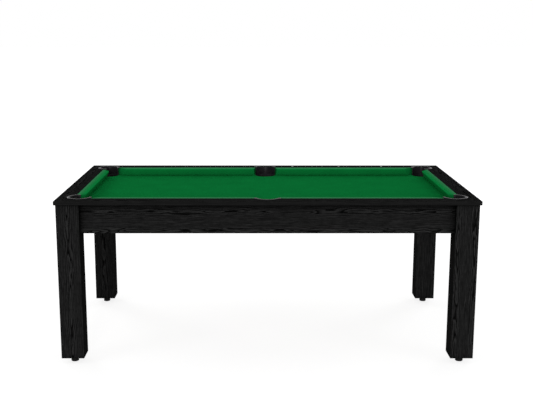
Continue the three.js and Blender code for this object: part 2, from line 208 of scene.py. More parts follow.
def sizes():
    return bpy.context.scene.pool_table_sizes


def colours():
    return bpy.context.scene.pool_table_colours


def rgba(value):
    return (*value, 1.0)


# Materials

# Scale of a wave texture whose bands lie a metre apart
WAVE_METRE = 2 * math.pi / 20
# Settings of the mixes that multiply two colours
TINTED = {"data_type": "RGBA", "blend_type": "MULTIPLY"}


def node_adder(holder):
    """Empty the nodes of a new material or world, and return the function that adds one to it."""
    holder.use_nodes = True
    holder.node_tree.nodes.clear()
    return partial(add_node, holder.node_tree)


def as_material(surface):
    """Turn a function that draws a surface into one that makes a named material with it.

    It is handed the function that adds a node, and the coordinates in metres.
    """
    def make(name, *choices, **look):
        material = bpy.data.materials.new(name)
        add = node_adder(material)
        shader = surface(add, add("TexCoord").outputs["Object"], *choices, **look)
        add("OutputMaterial", {"Surface": shader})
        return material
    return make


def add_node(tree, kind, links=None, stops=(), **settings):
    """Add one node and return it.

    links gives each input a value, an output socket, or a node, which stands for its first output in use.
    stops are a colour ramp's places with their greys or colours, and settings the node's properties.
    """
    node = tree.nodes.new("ShaderNode" + kind)
    for key, value in settings.items():
        setattr(node, key, value)
    for key, value in (links or {}).items():
        if isinstance(value, bpy.types.Node):
            value = next(output for output in value.outputs if output.enabled)
        if isinstance(value, bpy.types.NodeSocket):
            tree.links.new(value, node.inputs[key])
        else:
            node.inputs[key].default_value = value
    if stops:
        elements = node.color_ramp.elements
        while len(elements) < len(stops):
            elements.new(0.5)
        for element, (place, tone) in zip(elements, stops):
            element.position = place
            element.color = rgba(tone if hasattr(tone, "__len__") else (tone, tone, tone))
    return node


def toned(base, share):
    """A linear colour made darker or lighter."""
    return [c * share for c in base]


# Growth rings in millimetres: their spacing, how deep the heart sinks and over what length
RING_WIDTH = 7
RING_DEPTH = 16
RING_LENGTH = 170
# In millimetres: how far the grain wanders, and how far from a band its arches begin and end to fade
GRAIN_WANDER = 20
ARCH_NEAR, ARCH_FAR = 9, 26
# Reach of the painted shade in the inner corners between boards, in millimetres
CORNER_SHADE = 60
# Height of the grain that an edge band of low contrast comes close to
EDGE_LEVEL = (0.48, 0.48, 0.48, 1)
# Painted shade on the cushions' ends, full in the middle pockets' mouths and faint at the corners
MOUTH_SHADE = (0.28, 0.28, 0.28, 1)
GRAIN_TURNS = {"X": (0, math.radians(-90), 0), "Y": (math.radians(90), 0, 0), "Z": (0, 0, 0)}


@as_material
def black_board(add, place, along, bands, ridge, figure, edging=1.0):
    """Black laminate pressed with an open oak grain.

    Each band is a line along the grain where the growth rings were cut flat: there the eye sees pointed
    arches and islands, and away from it straight streaks. The valleys between the rings are darker than
    the ridges and open in fine pores. along is the grain's axis, ridge the colour of the raised grain,
    figure the strength of the rings away from the bands, and edging the contrast of the grain on the
    upright edge band, against that of the top.
    The real pores are 0.3 mm wide, so they are drawn at 0.8 mm to show from a step away.
    """
    grain = add("Mapping", {"Vector": place, "Rotation": GRAIN_TURNS[along]})
    turn = Euler(GRAIN_TURNS[along]).to_matrix()

    def spots(across, length, detail=2.0, roughness=0.5, source=grain):
        """Noise whose spots are across wide and length long, in millimetres."""
        wide, tall = 1 / (across * MM), 1 / (length * MM)
        stretched = add("Mapping", {"Vector": source, "Scale": (wide, wide, tall)})
        return add("TexNoise", {"Vector": stretched, "Scale": 1.0, "Detail": detail, "Roughness": roughness})

    wander = spots(60, 260).outputs["Color"]
    centred = add("VectorMath", {0: wander, 1: (0.5, 0.5, 0.5)}, operation="SUBTRACT")
    swing = add("VectorMath", {0: centred, "Scale": GRAIN_WANDER * MM}, operation="SCALE")
    bent = add("VectorMath", {0: grain, 1: swing}, operation="ADD")

    distance = None
    for point in bands:
        away = add("VectorMath", {0: bent, 1: tuple(turn @ Vector(point))}, operation="SUBTRACT")
        flat = add("VectorMath", {0: away, 1: (1, 1, 0)}, operation="MULTIPLY")
        length = add("VectorMath", {0: flat}, operation="LENGTH")
        if distance is not None:
            length = add("Math", {0: distance, 1: length}, operation="MINIMUM")
        distance = length

    # The heart of the log rises to the face and sinks under it along the grain, which closes the rings
    sunk = add("MapRange", {
        "Value": spots(60, RING_LENGTH), "From Min": 0.32, "From Max": 0.68, "To Max": RING_DEPTH * MM,
    })
    age = add("VectorMath", {0: add("CombineXYZ", {"X": distance, "Y": sunk})}, operation="LENGTH")
    # Ragged fibres and a slow drift keep the rings from running parallel
    ragged = spots(2.4, 70, 3.0, 0.6, bent)
    rough = add("Math", {0: ragged, 1: 0.7}, operation="MULTIPLY")
    count = add("Math", {0: age, 1: 1 / (RING_WIDTH * MM), 2: rough}, operation="MULTIPLY_ADD")
    count = add("Math", {0: spots(14, 320, 1.0), 1: 1.6, 2: count}, operation="MULTIPLY_ADD")
    phase = add("Math", {0: count}, operation="FRACT")
    rings = add("ValToRGB", {"Fac": phase}, [
        (0.0, 0.0), (0.12, 0.02), (0.32, 0.4), (0.78, 0.82), (0.92, 0.7), (1.0, 0.0),
    ])
    near = add("MapRange", {
        "Value": distance, "From Min": ARCH_NEAR * MM, "From Max": ARCH_FAR * MM,
        "To Min": 1.0, "To Max": figure,
    }, interpolation_type="SMOOTHSTEP")
    streaks = add("ValToRGB", {"Fac": ragged}, [(0.34, 0.15), (0.50, 0.47), (0.66, 0.76)])
    body = add("Mix", {"Factor": near, 6: streaks, 7: rings}, data_type="RGBA")
    pores = add("ValToRGB", {"Fac": spots(0.8, 26, 3.0)}, [(0.39, 0.15), (0.45, 1.0)])
    height = add("Mix", {"Factor": 0.8, 6: body, 7: pores}, **TINTED)
    facing = add("NewGeometry").outputs["Normal"]
    upward = add("SeparateXYZ", {"Vector": facing}).outputs["Z"]
    if edging < 1:
        show = add("MapRange", {"Value": upward, "From Min": 0.3, "From Max": 0.7, "To Min": edging})
        height = add("Mix", {"Factor": show, 6: EDGE_LEVEL, 7: height}, data_type="RGBA")
    middle = [a + (b - a) * 0.28 for a, b in zip(colours().board_pore, ridge)]
    skin = add("ValToRGB", {"Fac": height}, [(0.0, colours().board_pore), (0.45, middle), (1.0, ridge)])
    # Painted shade: inner corners, by ambient occlusion, and downward faces are darkened in the colour
    open_sky = add("AmbientOcclusion", {"Distance": CORNER_SHADE * MM}).outputs["AO"]
    corners = add("ValToRGB", {"Fac": open_sky}, [(0.45, 0.2), (1.0, 1.0)])
    under = add("MapRange", {"Value": upward, "From Min": -0.7, "From Max": -0.1, "To Min": 0.3})
    for shade in (corners, under):
        skin = add("Mix", {"Factor": 1.0, 6: skin, 7: shade}, **TINTED)
    relief = add("Bump", {"Height": height, "Strength": 0.6, "Distance": 0.35 * MM})
    return add("BsdfPrincipled", {
        "Base Color": skin, "Roughness": 0.7, "Normal": relief, "IOR": 1.46, "Specular IOR Level": 0.0,
    })


@as_material
def baize(add, place, base, with_sheen_band):
    """Woven wool and nylon cloth with a short brushed nap: dull, even green with a faint felted mottle.

    The real threads are 0.5 mm apart, so they are drawn at 1.4 mm to show from a step away.
    """
    warp, weft = (
        add("TexWave", {
            "Vector": place, "Scale": WAVE_METRE / (1.4 * MM), "Distortion": 1.2, "Detail Scale": 0.6,
        }, bands_direction=way).outputs["Fac"]
        for way in ("X", "Y")
    )
    weave = add("Math", {0: warp, 1: weft}, operation="MULTIPLY")
    fuzz = add("TexNoise", {"Vector": place, "Scale": 1100.0, "Detail": 3.0, "Roughness": 0.7})
    nap = add("Math", {0: weave, 1: 0.45, 2: fuzz}, operation="MULTIPLY_ADD")
    mottle = add("TexNoise", {"Vector": place, "Scale": 9.0, "Detail": 4.0, "Roughness": 0.6})
    tone = add("ValToRGB", {"Fac": mottle}, [(0.35, toned(base, 0.95)), (0.65, toned(base, 1.05))])
    lint = add("ValToRGB", {"Fac": fuzz}, [(0.35, 0.80), (0.65, 1.0)])
    shown = add("Mix", {"Factor": 0.6, 6: tone, 7: lint}, **TINTED)
    if with_sheen_band:
        # tuck is 0 at the back of a cushion and 1 where the band of painted sheen ends
        share = add("Attribute", attribute_name="tuck").outputs["Fac"]
        rest = add("Math", {0: 1.0, 1: share}, operation="SUBTRACT", use_clamp=True)
        band = add("Math", {0: rest, 1: 2.0}, operation="POWER")
        # Painted sheen: the band lightens only the top of a cushion, not its slanted ends
        facing = add("NewGeometry").outputs["Normal"]
        upward = add("SeparateXYZ", {"Vector": facing}).outputs["Z"]
        band = add("MapRange", {"Value": upward, "From Min": 0.6, "From Max": 0.9, "To Max": band})
        shown = add("Mix", {"Factor": band, 6: shown, 7: rgba(colours().tuck_sheen)}, data_type="RGBA")
        # Painted shade: the squarer ends in the middle pockets' mouths are darkened, the corner ends a
        # little
        mouth = add("Attribute", attribute_name="mouth").outputs["Fac"]
        shown = add("Mix", {"Factor": mouth, 6: shown, 7: MOUTH_SHADE}, **TINTED)
    relief = add("Bump", {"Height": nap, "Strength": 0.5, "Distance": 0.3 * MM})
    return add("BsdfPrincipled", {
        "Base Color": shown, "Roughness": 0.95, "Normal": relief, "Specular IOR Level": 0.0,
        "Sheen Weight": 0.03, "Sheen Tint": rgba(base),
    })


@as_material
def moulded(add, place, base, roughness, grit, shine):
    """Injection-moulded plastic with a fine spark-eroded texture, so highlights stay soft-edged.

    grit is the texture's grain in millimetres, and shine the level of its reflections.
    """
    grain = add("TexNoise", {"Vector": place, "Scale": 1 / (grit * MM)})
    flow = add("TexNoise", {"Vector": place, "Scale": 30.0, "Detail": 3.0, "Roughness": 0.6})
    tone = add("ValToRGB", {"Fac": flow}, [(0.35, toned(base, 0.8)), (0.65, toned(base, 1.2))])
    gloss = add("ValToRGB", {"Fac": flow}, [(0.3, roughness - 0.05), (0.7, roughness + 0.08)])
    relief = add("Bump", {"Height": grain, "Strength": 0.25, "Distance": 0.05 * MM})
    return add("BsdfPrincipled", {
        "Base Color": tone, "Roughness": gloss, "Normal": relief, "Specular IOR Level": shine,
    })


@as_material
def zinc_steel(add, place):
    """Bright zinc-plated steel with a faint spangle and rolling marks."""
    spangle = add("TexVoronoi", {"Vector": place, "Scale": 260.0}).outputs["Distance"]
    marks = add("TexNoise", {"Vector": place, "Scale": 900.0, "Detail": 3.0})
    base = colours().steel
    tone = add("ValToRGB", {"Fac": spangle}, [(0.0, toned(base, 0.85)), (0.7, base)])
    gloss = add("ValToRGB", {"Fac": marks}, [(0.3, 0.28), (0.7, 0.44)])
    relief = add("Bump", {"Height": marks, "Strength": 0.15, "Distance": 0.05 * MM})
    return add("BsdfPrincipled", {
        "Base Color": tone, "Metallic": 1.0, "Roughness": gloss, "Normal": relief,
    })


@as_material
def pearl_acetate(add, place):
    """Pearlescent acetate disc, polished: pale with soft cloudy bands."""
    cloud = add("TexNoise", {"Vector": place, "Scale": 320.0, "Distortion": 1.5})
    base = colours().sight
    tone = add("ValToRGB", {"Fac": cloud}, [(0.35, toned(base, 0.8)), (0.65, base)])
    return add("BsdfPrincipled", {
        "Base Color": tone, "Roughness": 0.18, "IOR": 1.48, "Coat Weight": 0.3, "Coat Roughness": 0.08,
    })


@as_material
def pine(add, place, along, base):
    """Planed pine, raw or stained: its own tone with darker summer-wood lines 5 mm apart."""
    turned = add("Mapping", {"Vector": place, "Rotation": GRAIN_TURNS[along]})
    drawn = add("Mapping", {"Vector": turned, "Scale": (1, 1, 0.06)})
    rings = add("TexWave", {
        "Vector": drawn, "Scale": WAVE_METRE / (5 * MM), "Distortion": 7.0, "Detail Scale": 0.5,
    }, bands_direction="DIAGONAL", wave_profile="SAW").outputs["Fac"]
    fibre_map = add("Mapping", {"Vector": turned, "Scale": (700, 700, 16)})
    fibres = add("TexNoise", {"Vector": fibre_map, "Scale": 1.0, "Detail": 3.0})
    tone = add("ValToRGB", {"Fac": rings}, [(0.0, base), (0.75, toned(base, 0.8)), (1.0, toned(base, 0.5))])
    lint = add("ValToRGB", {"Fac": fibres}, [(0.3, 0.75), (0.7, 1.0)])
    wood = add("Mix", {"Factor": 0.7, 6: tone, 7: lint}, **TINTED)
    relief = add("Bump", {"Height": fibres, "Strength": 0.3, "Distance": 0.2 * MM})
    return add("BsdfPrincipled", {
        "Base Color": wood, "Roughness": 0.8, "Normal": relief, "Specular IOR Level": 0.3,
    })


@as_material
def fibreboard(add, place):
    """Raw medium-density fibreboard: even brown felt of fine fibres with paler flecks."""
    fleck = add("TexNoise", {"Vector": place, "Scale": 700.0, "Detail": 5.0, "Roughness": 0.75})
    cloud = add("TexNoise", {"Vector": place, "Scale": 12.0, "Detail": 3.0})
    base = colours().fibreboard
    tone = add("ValToRGB", {"Fac": fleck}, [(0.3, toned(base, 0.65)), (0.7, toned(base, 1.15))])
    shade = add("ValToRGB", {"Fac": cloud}, [(0.3, 0.85), (0.7, 1.0)])
    board = add("Mix", {"Factor": 1.0, 6: tone, 7: shade}, **TINTED)
    return add("BsdfPrincipled", {"Base Color": board, "Roughness": 0.9, "Specular IOR Level": 0.2})


def seen_directly(add):
    """1 where the camera looks at it, also by reflection or through glass, and 0 for its light."""
    path = add("LightPath").outputs
    seen = add("Math", {0: path["Is Camera Ray"], 1: path["Is Glossy Ray"]}, operation="MAXIMUM")
    return add("Math", {0: seen, 1: path["Is Transmission Ray"]}, operation="MAXIMUM")


@as_material
def white_floor(add, place):
    """Matt white: grey as a light source, and white where the camera or a glossy surface sees it.

    The glow grows with the distance, so that the far floor runs into the white behind it.
    """
    radius = add("VectorMath", {0: place}, operation="LENGTH")
    level = add("MapRange", {"Value": radius, "From Min": 1.5, "From Max": 6.0, "To Min": 0.80})
    diffuse = add("BsdfDiffuse", {"Color": linear("#969696")})
    glow = add("Emission", {"Color": (1, 1, 1, 1), "Strength": level})
    both = add("AddShader", {0: diffuse, 1: glow})
    return add("MixShader", {"Fac": seen_directly(add), 1: diffuse, 2: both})


# Mesh helpers

def new_object(name, data):
    item = bpy.data.objects.new(name, data)
    bpy.context.scene.collection.objects.link(item)
    return item


def keep_piece(node, state, bm, material, body=TABLE, sharp=35):
    """Make a finished mesh a piece: smooth inside its sharp edges, dressed, and riding on its body.

    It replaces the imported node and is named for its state. A piece of its own has no state.
    """
    name, replaced = (f"{node}_{state}", [node]) if state else (node, [])
    bmesh.ops.recalc_face_normals(bm, faces=bm.faces)
    mesh = bpy.data.meshes.new(name)
    bm.to_mesh(mesh)
    bm.free()
    mesh.polygons.foreach_set("use_smooth", [True] * len(mesh.polygons))
    mesh.set_sharp_from_angle(angle=math.radians(sharp))
    mesh.materials.append(material)
    piece = new_object(name, mesh)
    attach(piece, body)
    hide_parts(*replaced)
    return piece


def weigh_normals(piece):
    """Keep large faces flat beside their eased edges."""
    modifier = piece.modifiers.new("Even normals", "WEIGHTED_NORMAL")
    modifier.mode = "FACE_AREA_WITH_ANGLE"
    modifier.weight = 50
    modifier.keep_sharp = True


def solid_copy(node):
    """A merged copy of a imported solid, with its flat faces made whole."""
    bm = bmesh.new()
    bm.from_mesh(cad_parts[node].data)
    bmesh.ops.remove_doubles(bm, verts=bm.verts, dist=0.002 * MM)
    bmesh.ops.dissolve_limit(bm, angle_limit=math.radians(1), verts=bm.verts, edges=bm.edges)
    return bm


def whole(bm):
    return bm.verts[:] + bm.edges[:] + bm.faces[:]


def only(kind, geometry):
    return [item for item in geometry if isinstance(item, kind)]


def move(bm, matrix):
    bmesh.ops.transform(bm, matrix=matrix, verts=bm.verts)


def round_off(bm, geom, width, segments, affect="EDGES", clamp_overlap=False):
    """Bevel edges or corners to a round."""
    bmesh.ops.bevel(
        bm, geom=geom, offset=width, offset_type="OFFSET", affect=affect, segments=segments,
        profile=0.5, material=-1, clamp_overlap=clamp_overlap,
    )


def ease(bm, width, chosen, segments=3):
    """Round the chosen convex edges."""
    fold = math.radians(25)
    edges = [e for e in bm.edges if e.is_convex and e.calc_face_angle(0) > fold and chosen(e)]
    round_off(bm, edges, width, segments, clamp_overlap=True)


def longer_than(length):
    """A choice of the edges over a length in millimetres."""
    return lambda e: e.calc_length() > length * MM


def arc_points(bm, centre, radius, start, end, steps):
    """Spin one vertex about a point in the XZ plane; returns the chain of vertices."""
    cx, cz = centre
    first = bm.verts.new((cx + radius * math.cos(start), 0, cz + radius * math.sin(start)))
    before = len(bm.verts)
    bmesh.ops.spin(bm, geom=[first], cent=(cx, 0, cz), axis=(0, -1, 0), angle=end - start, steps=steps)
    bm.verts.ensure_lookup_table()
    return [first, *bm.verts[before:]]


def lathed(profile, steps, rounds, start=0.0, angle=2 * math.pi):
    """A closed turned solid as its own bmesh. rounds are its profile's corner radii in millimetres."""
    bm = bmesh.new()
    corners = [bm.verts.new((radius, 0, height)) for radius, height in profile]
    bm.faces.new(corners)
    for corner, radius in zip(corners, rounds):
        if radius:
            round_off(bm, [corner], radius * MM, 4, "VERTICES")
    move(bm, Matrix.Rotation(start, 4, "Z"))
    full = abs(angle - 2 * math.pi) < 1e-6
    bmesh.ops.spin(
        bm, geom=whole(bm), cent=(0, 0, 0), axis=(0, 0, 1), angle=angle, steps=steps, use_merge=full,
    )
    if full:
        flat = [f for f in bm.faces if all(abs(v.co.y) < 1e-7 and v.co.x > -1e-7 for v in f.verts)]
        bmesh.ops.delete(bm, geom=flat, context="FACES_ONLY")
    bmesh.ops.remove_doubles(bm, verts=bm.verts, dist=0.001 * MM)
    return bm


def merge_in(target, source, matrix=Matrix()):
    """Copy one bmesh into another, through a matrix."""
    mesh = bpy.data.meshes.new("part")
    source.to_mesh(mesh)
    source.free()
    mesh.transform(matrix)
    target.from_mesh(mesh)
    bpy.data.meshes.remove(mesh)
    return target


def box_solid(low, high, edge):
    """A block with eased edges."""
    bm = bmesh.new()
    low, high = Vector(low), Vector(high)
    place = Matrix.Translation((low + high) / 2) @ Matrix.Diagonal((*(high - low), 1))
    bmesh.ops.create_cube(bm, size=1.0, matrix=place)
    round_off(bm, bm.edges[:], edge, 2)
    return bm


def hexagon(radius, height, middle, edge):
    """A hexagonal prism about the Z axis, with eased edges."""
    bm = bmesh.new()
    bmesh.ops.create_cone(
        bm, cap_ends=True, segments=6, radius1=radius, radius2=radius, depth=height,
        matrix=Matrix.Translation((0, 0, middle)),
    )
    round_off(bm, bm.edges[:], edge, 2)
    return bm


# Pockets

def pockets():
    """Each pocket's name, centre, inner radius and place, and whether it is a corner's."""
    found = []
    for name in [*CORNERS, "front_middle", "back_middle"]:
        low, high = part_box(f"pocket_cup_{name}")
        centre = Vector(((low.x + high.x) / 2, (low.y + high.y) / 2, 0))
        corner = name in CORNERS
        radius = sizes().corner_radius if corner else sizes().middle_radius
        heading = math.atan2(-CORNERS[name][1], -CORNERS[name][0]) if corner else math.atan2(-centre.y, 0)
        place = Matrix.Translation(centre) @ Matrix.Rotation(heading, 4, "Z")
        found.append((name, centre, radius, place, corner))
    return found


def past_rims(place, found):
    """How far a place lies outside the nearest pocket's inner radius."""
    return min((place.xy - centre.xy).length - radius for _, centre, radius, _, _ in found)


# Operators

class PoolOperator:
    """What every building step shares."""

    bl_options = {"REGISTER", "UNDO"}


def dress_board(node, along, bands, chosen, **look):
    """Ease the chosen edges of a packed board and give it its black grain."""
    bm = solid_copy(node)
    ease(bm, sizes().board_edge, chosen)
    name = "black_embossed_laminate_" + node.replace("_board", "")
    material = black_board(name, along, bands, **look)
    weigh_normals(keep_piece(node, "eased", bm, material, sharp=50))


class POOL_OT_rail_boards(PoolOperator, bpy.types.Operator):
    """Ease the edges of the four mitred rail boards and give them black embossed wood"""

    bl_idname = "pool_table.rail_boards"
    bl_label = "Rail Boards"

    def execute(self, context):
        found = pockets()

        def is_outer(edge):
            """True away from the round holes, whose rims the pocket liners cover."""
            clear = all(past_rims(vert.co, found) > 1.5 * sizes().wall for vert in edge.verts)
            return clear and edge.calc_length() > RAIL_LONG_EDGE * MM

        reach = CAD_BOUNDS[1] - Vector((RAIL_BAND * MM, RAIL_BAND * MM, 0))
        # The rails' darker ridge colour is painted shade
        look = {"ridge": colours().rail, "figure": 0.5, "edging": 0.3}
        for side, (along, (x, y)) in BOARDS.items():
            band = (x * reach.x, y * reach.y, RAIL_TOP)
            dress_board(f"rail_board_{side}", along, [band], is_outer, **look)
        return {"FINISHED"}


class POOL_OT_rail_sights(PoolOperator, bpy.types.Operator):
    """Polish the three sights let into the back rail"""

    bl_idname = "pool_table.rail_sights"
    bl_label = "Rail Sights"

    def execute(self, context):
        material = pearl_acetate("pearlescent_acetate")
        for index in (1, 2, 3):
            low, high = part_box(f"rail_sight_{index}")
            centre, radius = (low + high) / 2, (high.x - low.x) / 2
            dome = high.z + 0.1 * MM
            profile = [(0, low.z), (radius, low.z), (radius, high.z), (0, dome)]
            disc = lathed(profile, sizes().steps // 2, [0, 0, 0.4, 0])
            move(disc, Matrix.Translation((centre.x, centre.y, 0)))
            keep_piece(f"rail_sight_{index}", "polished", disc, material)
        return {"FINISHED"}


class POOL_OT_aprons(PoolOperator, bpy.types.Operator):
    """Ease the edges of the four aprons and give them black embossed wood"""

    bl_idname = "pool_table.aprons"
    bl_label = "Aprons"

    def execute(self, context):
        low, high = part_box("apron_front")
        outer_x, outer_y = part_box("apron_right")[1].x, abs(low.y)
        levels = (high.z - APRON_BANDS[0] * MM, low.z + APRON_BANDS[1] * MM)
        look = {"ridge": colours().board, "figure": 0.3}
        for side, (along, (x, y)) in BOARDS.items():
            bands = [(x * outer_x, y * outer_y, level) for level in levels]
            dress_board(f"apron_{side}", along, bands, longer_than(LONG_EDGE), **look)
        return {"FINISHED"}


class POOL_OT_legs(PoolOperator, bpy.types.Operator):
    """Ease the edges of the four legs and give them black embossed wood"""

    bl_idname = "pool_table.legs"
    bl_label = "Legs"

    def execute(self, context):
        look = {"ridge": colours().board, "figure": 0.3}
        for corner, (sign_x, sign_y) in CORNERS.items():
            low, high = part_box(f"leg_{corner}")
            middle = (low + high) / 2
            if sign_x < 0:
                shift = LEFT_LEG_BAND * MM
                bands = [(low.x, middle.y, 0), (middle.x, low.y, 0), (middle.x + shift, high.y, 0)]
            else:
                outer = low.y if sign_y < 0 else high.y
                near, far = (inset * MM for inset in RIGHT_LEG_BANDS)
                bands = [(high.x, middle.y, 0), (low.x + near, outer, 0), (high.x - far, outer, 0)]
            dress_board(f"leg_{corner}", "Z", bands, longer_than(LONG_EDGE), **look)
        return {"FINISHED"}


class POOL_OT_bed(PoolOperator, bpy.types.Operator):
    """Stretch the cloth over the bed, and finish the board, blocks and beams under it"""

    bl_idname = "pool_table.bed"
    bl_label = "Bed"

    def execute(self, context):
        low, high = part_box("bed_cloth")
        bm = bmesh.new()
        # The sheet starts wider than the bed, so that the middle holes lie inside it before it is cut
        front, back = low.y - CLOTH_SPARE * MM, high.y + CLOTH_SPARE * MM
        outline = ((low.x, front), (high.x, front), (high.x, back), (low.x, back))
        rim = [bm.verts.new((x, y, high.z)) for x, y in outline]
        for start, end in zip(rim, rim[1:] + rim[:1]):
            bm.edges.new((start, end))
        found = pockets()
        margin = sizes().wall + CLOTH_GAP * MM
        for _, centre, radius, _, _ in found:
            bmesh.ops.create_circle(
                bm, cap_ends=False, radius=radius + margin, segments=sizes().steps,
                matrix=Matrix.Translation((centre.x, centre.y, high.z)),
            )
        bmesh.ops.triangle_fill(bm, use_beauty=True, use_dissolve=False, edges=bm.edges[:], normal=(0, 0, 1))
        for edge, outward in ((low.y, -1), (high.y, 1)):
            bmesh.ops.bisect_plane(
                bm, geom=whole(bm), plane_co=(0, edge, 0), plane_no=(0, outward, 0), clear_outer=True,
            )
        lower = bmesh.ops.extrude_face_region(bm, geom=bm.faces[:])
        moved = only(bmesh.types.BMVert, lower["geom"])
        bmesh.ops.translate(bm, vec=(0, 0, low.z - high.z), verts=moved)
        top_rim = {
            v for v in bm.verts
            if v.co.z > high.z - 0.01 * MM and abs(past_rims(v.co, found) - margin) < 0.1 * MM
        }
        fold = math.radians(45)
        around = [e for e in bm.edges if top_rim.issuperset(e.verts) and e.calc_face_angle(0) > fold]
        round_off(bm, around, sizes().cloth_roll, 4)
        green = baize("green_baize_bed", colours().cloth, False)
        cloth = keep_piece("bed_cloth", "stretched", bm, green)

        set_material("bed_slab", fibreboard("raw_fibreboard"))
        beam_wood = pine("planed_pine_beam", "Y", colours().softwood)
        end_blocks = pine("black_stained_pine_ends", "Y", colours().stain)
        side_blocks = pine("black_stained_pine_sides", "X", colours().stain)
        for side in ENDS:
            set_material(f"crossbeam_{side}", beam_wood)
            set_material(f"subrail_{side}", end_blocks)
        for corner in CORNERS:
            set_material(f"subrail_{corner}", side_blocks)
        return {"FINISHED"}


def set_material(node, material):
    """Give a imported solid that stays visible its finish."""
    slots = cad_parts[node].data.materials
    slots.clear()
    slots.append(material)


class POOL_OT_cushions(PoolOperator, bpy.types.Operator):
    """Build the six rail cushions under their cloth"""

    bl_idname = "pool_table.cushions"
    bl_label = "Cushions"

    def execute(self, context):
        cloth = baize("green_baize_cushion", colours().cushion, True)
        for corner, (sign_x, sign_y) in CORNERS.items():
            low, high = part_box(f"cushion_{corner}")
            near, far = sorted((abs(low.x), abs(high.x)))
            turn = Matrix.Diagonal((sign_x, -sign_y, 1, 1))
            place = Matrix.Translation((0, sign_y * RAIL_EDGE_Y, 0)) @ turn
            self.build(corner, near, far, self.middle_slant, sizes().side_sheen_band, place, cloth)
        for side, sign in ENDS.items():
            low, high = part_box(f"cushion_{side}")
            turn = Matrix.Rotation(math.radians(90), 4, "Z") @ Matrix.Diagonal((1, sign, 1, 1))
            place = Matrix.Translation((sign * RAIL_EDGE_X, 0, 0)) @ turn
            self.build(side, low.y, high.y, self.corner_slant, sizes().end_sheen_band, place, cloth)
        return {"FINISHED"}

    # Slants of the ends: how far the back of the cushion stands out past its nose, by its reach
    corner_slant = math.tan(math.radians(52))
    middle_slant = math.tan(math.radians(14))

    def build(self, name, start, end, start_slant, tuck, place, cloth):
        """One cushion along X, its back on the plane y = 0 and its nose towards +Y."""
        s = sizes()
        low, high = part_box(f"cushion_{name}")
        reach = min(high.x - low.x, high.y - low.y)
        if name in CORNERS:
            back = RAIL_EDGE_Y - max(abs(low.y), abs(high.y))
        else:
            back = RAIL_EDGE_X - max(abs(low.x), abs(high.x))
        nose = (back + reach - s.nose_radius, CLOTH_TOP + s.nose_height)
        bm = bmesh.new()
        arc = arc_points(bm, nose, s.nose_radius, math.radians(-28), math.radians(92), 10)
        top_back = bm.verts.new((back + BACK_EDGE[0] * MM, 0, high.z))
        edge_back = bm.verts.new((back, 0, high.z - BACK_EDGE[1] * MM))
        foot_back = bm.verts.new((back, 0, low.z))
        toe = bm.verts.new((s.toe_reach, 0, low.z))
        # The crown lifts the middle of the top a little
        middle = bm.verts.new(((top_back.co + arc[-1].co) / 2) + Vector((0, 0, s.crown)))
        bm.faces.new([*arc, middle, top_back, edge_back, foot_back, toe])
        round_off(bm, [toe], TOE_ROUND * MM, 4, "VERTICES")
        # Stand the section across X, then draw it out along the rail
        move(bm, Matrix.Rotation(math.radians(90), 4, "Z"))
        drawn = bmesh.ops.extrude_face_region(bm, geom=bm.faces[:])
        far = set(only(bmesh.types.BMVert, drawn["geom"]))
        for vert in bm.verts:
            behind = vert.co.y - back
            vert.co.x = end - behind * self.corner_slant if vert in far else start + behind * start_slant
        bmesh.ops.recalc_face_normals(bm, faces=bm.faces)
        ends = [e for e in bm.edges if abs(e.verts[0].co.x - e.verts[1].co.x) < (end - start) / 2]
        round_off(bm, ends, END_ROUND * MM, 3)
        # The tuck attribute places the band of painted sheen
        band = bm.verts.layers.float.new("tuck")
        for vert in bm.verts:
            vert[band] = (vert.co.y - back) / tuck
        # The mouth attribute marks where the cushion's ends get painted shade
        mouth = bm.faces.layers.float.new("mouth")
        bm.normal_update()
        for face in bm.faces:
            face[mouth] = min(1.0, max(0.0, abs(face.normal.x) - 0.5) * 2)
        move(bm, place)
        keep_piece(f"cushion_{name}", "clothed", bm, cloth, sharp=55)


